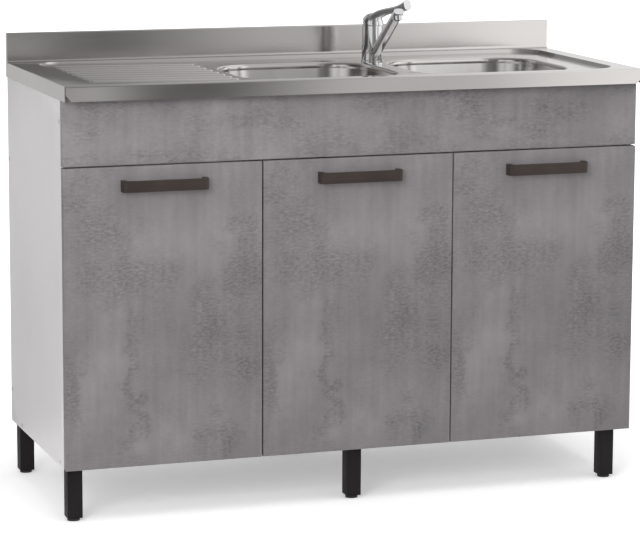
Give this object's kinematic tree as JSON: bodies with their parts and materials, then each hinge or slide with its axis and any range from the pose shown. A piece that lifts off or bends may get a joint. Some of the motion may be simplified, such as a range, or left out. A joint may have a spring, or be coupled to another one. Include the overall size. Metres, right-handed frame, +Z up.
{
  "type": "kitchen sink unit",
  "caption": "Free-standing kitchen base unit with a pressed steel sink top, two bowls, a ribbed drainer, a lever mixer tap, hinged doors and square legs.",
  "frame": {"origin": "on the floor, under the middle of the sink top's footprint", "axes": "+X to the right seen from the front, +Y towards the wall, +Z up"},
  "size_m": [1.2, 0.5, 0.986],
  "materials": {
    "stainless": "long horizontal brushing",
    "bowl_steel": "satin drawn bowl",
    "chrome": "polished",
    "zinc": "zinc plated",
    "white_board": "white melamine faced chipboard",
    "concrete_board": "matt concrete-look laminate on chipboard",
    "black_steel": "matt black powder coat",
    "dark_handle": "satin dark bronze",
    "black_plastic": "moulded",
    "white_plastic": "moulded",
    "seal_rubber": "moulded"
  },
  "bodies": {
    "sink_unit": {"sink_deck": "stainless", "bowl_left": "bowl_steel", "strainer_flange_left": "bowl_steel", "waste_body_left": "white_plastic", "bowl_right": "bowl_steel", "strainer_flange_right": "bowl_steel", "waste_body_right": "white_plastic", "waste_gaskets": "seal_rubber", "waste_manifold": "white_plastic", "trap": "white_plastic", "sink_clips": "zinc", "tap_body": "chrome", "tap_nut": "zinc", "side_panel_left": "white_board", "side_panel_right": "white_board", "partition_panel": "white_board", "bottom_panel": "white_board", "front_rail": "white_board", "rear_rails": "white_board", "shelf": "white_board", "fascia_panel": "concrete_board", "shelf_pins": "zinc", "panel_screws": "zinc", "fascia_screws": "zinc", "leg_inserts": "black_plastic", "leg_screws": "zinc", "hinge_arms": "zinc", "leg_front_left": "black_steel", "leg_front_middle": "black_steel", "leg_front_right": "black_steel", "leg_rear_left": "black_steel", "leg_rear_middle": "black_steel", "leg_rear_right": "black_steel"},
    "left_door": {"door_left": "concrete_board", "handle_left": "dark_handle", "handle_screws_left": "zinc", "hinge_cups_left": "zinc"},
    "left_links": {"hinge_links_left": "zinc"},
    "middle_door": {"door_middle": "concrete_board", "handle_middle": "dark_handle", "handle_screws_middle": "zinc", "hinge_cups_middle": "zinc"},
    "middle_links": {"hinge_links_middle": "zinc"},
    "right_door": {"door_right": "concrete_board", "handle_right": "dark_handle", "handle_screws_right": "zinc", "hinge_cups_right": "zinc"},
    "right_links": {"hinge_links_right": "zinc"},
    "front_left_foot": {"foot_front_left": "black_plastic"},
    "front_middle_foot": {"foot_front_middle": "black_plastic"},
    "front_right_foot": {"foot_front_right": "black_plastic"},
    "rear_left_foot": {"foot_rear_left": "black_plastic"},
    "rear_middle_foot": {"foot_rear_middle": "black_plastic"},
    "rear_right_foot": {"foot_rear_right": "black_plastic"},
    "left_basket": {"basket_plug_left": "chrome"},
    "right_basket": {"basket_plug_right": "chrome"},
    "spout": {"tap_spout": "chrome", "tap_aerator": "chrome"},
    "stem": {"tap_stem": "chrome"},
    "lever": {"tap_lever": "chrome"}
  },
  "joints": [
    {"name": "left_door_hinge", "type": "hinge", "parent": "sink_unit", "child": "left_door", "pos_m": [-0.592, -0.22, 0.401], "axis": [0, 0, -1], "range_deg": [0, 95]},
    {"name": "left_link_pivot", "type": "hinge", "parent": "sink_unit", "child": "left_links", "pos_m": [-0.566, -0.213, 0.401], "axis": [0, 0, -1], "range_deg": [-51, 0]},
    {"name": "middle_door_hinge", "type": "hinge", "parent": "sink_unit", "child": "middle_door", "pos_m": [-0.19183, -0.22, 0.401], "axis": [0, 0, -1], "range_deg": [0, 95]},
    {"name": "middle_link_pivot", "type": "hinge", "parent": "sink_unit", "child": "middle_links", "pos_m": [-0.16583, -0.213, 0.401], "axis": [0, 0, -1], "range_deg": [-51, 0]},
    {"name": "right_door_hinge", "type": "hinge", "parent": "sink_unit", "child": "right_door", "pos_m": [0.592, -0.22, 0.401], "axis": [0, 0, 1], "range_deg": [0, 95]},
    {"name": "right_link_pivot", "type": "hinge", "parent": "sink_unit", "child": "right_links", "pos_m": [0.566, -0.213, 0.401], "axis": [0, 0, 1], "range_deg": [-51, 0]},
    {"name": "front_left_foot_screw", "type": "slide", "parent": "sink_unit", "child": "front_left_foot", "axis": [0, 0, -1], "range_m": [0, 0.015]},
    {"name": "front_middle_foot_screw", "type": "slide", "parent": "sink_unit", "child": "front_middle_foot", "axis": [0, 0, -1], "range_m": [0, 0.015]},
    {"name": "front_right_foot_screw", "type": "slide", "parent": "sink_unit", "child": "front_right_foot", "axis": [0, 0, -1], "range_m": [0, 0.015]},
    {"name": "rear_left_foot_screw", "type": "slide", "parent": "sink_unit", "child": "rear_left_foot", "axis": [0, 0, -1], "range_m": [0, 0.015]},
    {"name": "rear_middle_foot_screw", "type": "slide", "parent": "sink_unit", "child": "rear_middle_foot", "axis": [0, 0, -1], "range_m": [0, 0.015]},
    {"name": "rear_right_foot_screw", "type": "slide", "parent": "sink_unit", "child": "rear_right_foot", "axis": [0, 0, -1], "range_m": [0, 0.015]},
    {"name": "left_basket_lift", "type": "slide", "parent": "sink_unit", "child": "left_basket", "axis": [0, 0, 1], "range_m": [0, 0.06]},
    {"name": "right_basket_lift", "type": "slide", "parent": "sink_unit", "child": "right_basket", "axis": [0, 0, 1], "range_m": [0, 0.06]},
    {"name": "spout_swivel", "type": "hinge", "parent": "sink_unit", "child": "spout", "pos_m": [0.143, 0.096, 0.869], "axis": [0, 0, 1], "range_deg": [-90, 90]},
    {"name": "stem_turn", "type": "hinge", "parent": "sink_unit", "child": "stem", "pos_m": [0.143, 0.096, 0.929], "axis": [0, 0, 1], "range_deg": [-45, 45]},
    {"name": "lever_lift", "type": "hinge", "parent": "stem", "child": "lever", "pos_m": [0.143, 0.096, 0.929], "axis": [-0.9397, -0.342, 0], "range_deg": [0, 25]}
  ],
  "couplings": [
    {"joint": "left_link_pivot", "follows": "left_door_hinge", "ratio": -0.5301},
    {"joint": "middle_link_pivot", "follows": "middle_door_hinge", "ratio": -0.5301},
    {"joint": "right_link_pivot", "follows": "right_door_hinge", "ratio": -0.5301}
  ]
}
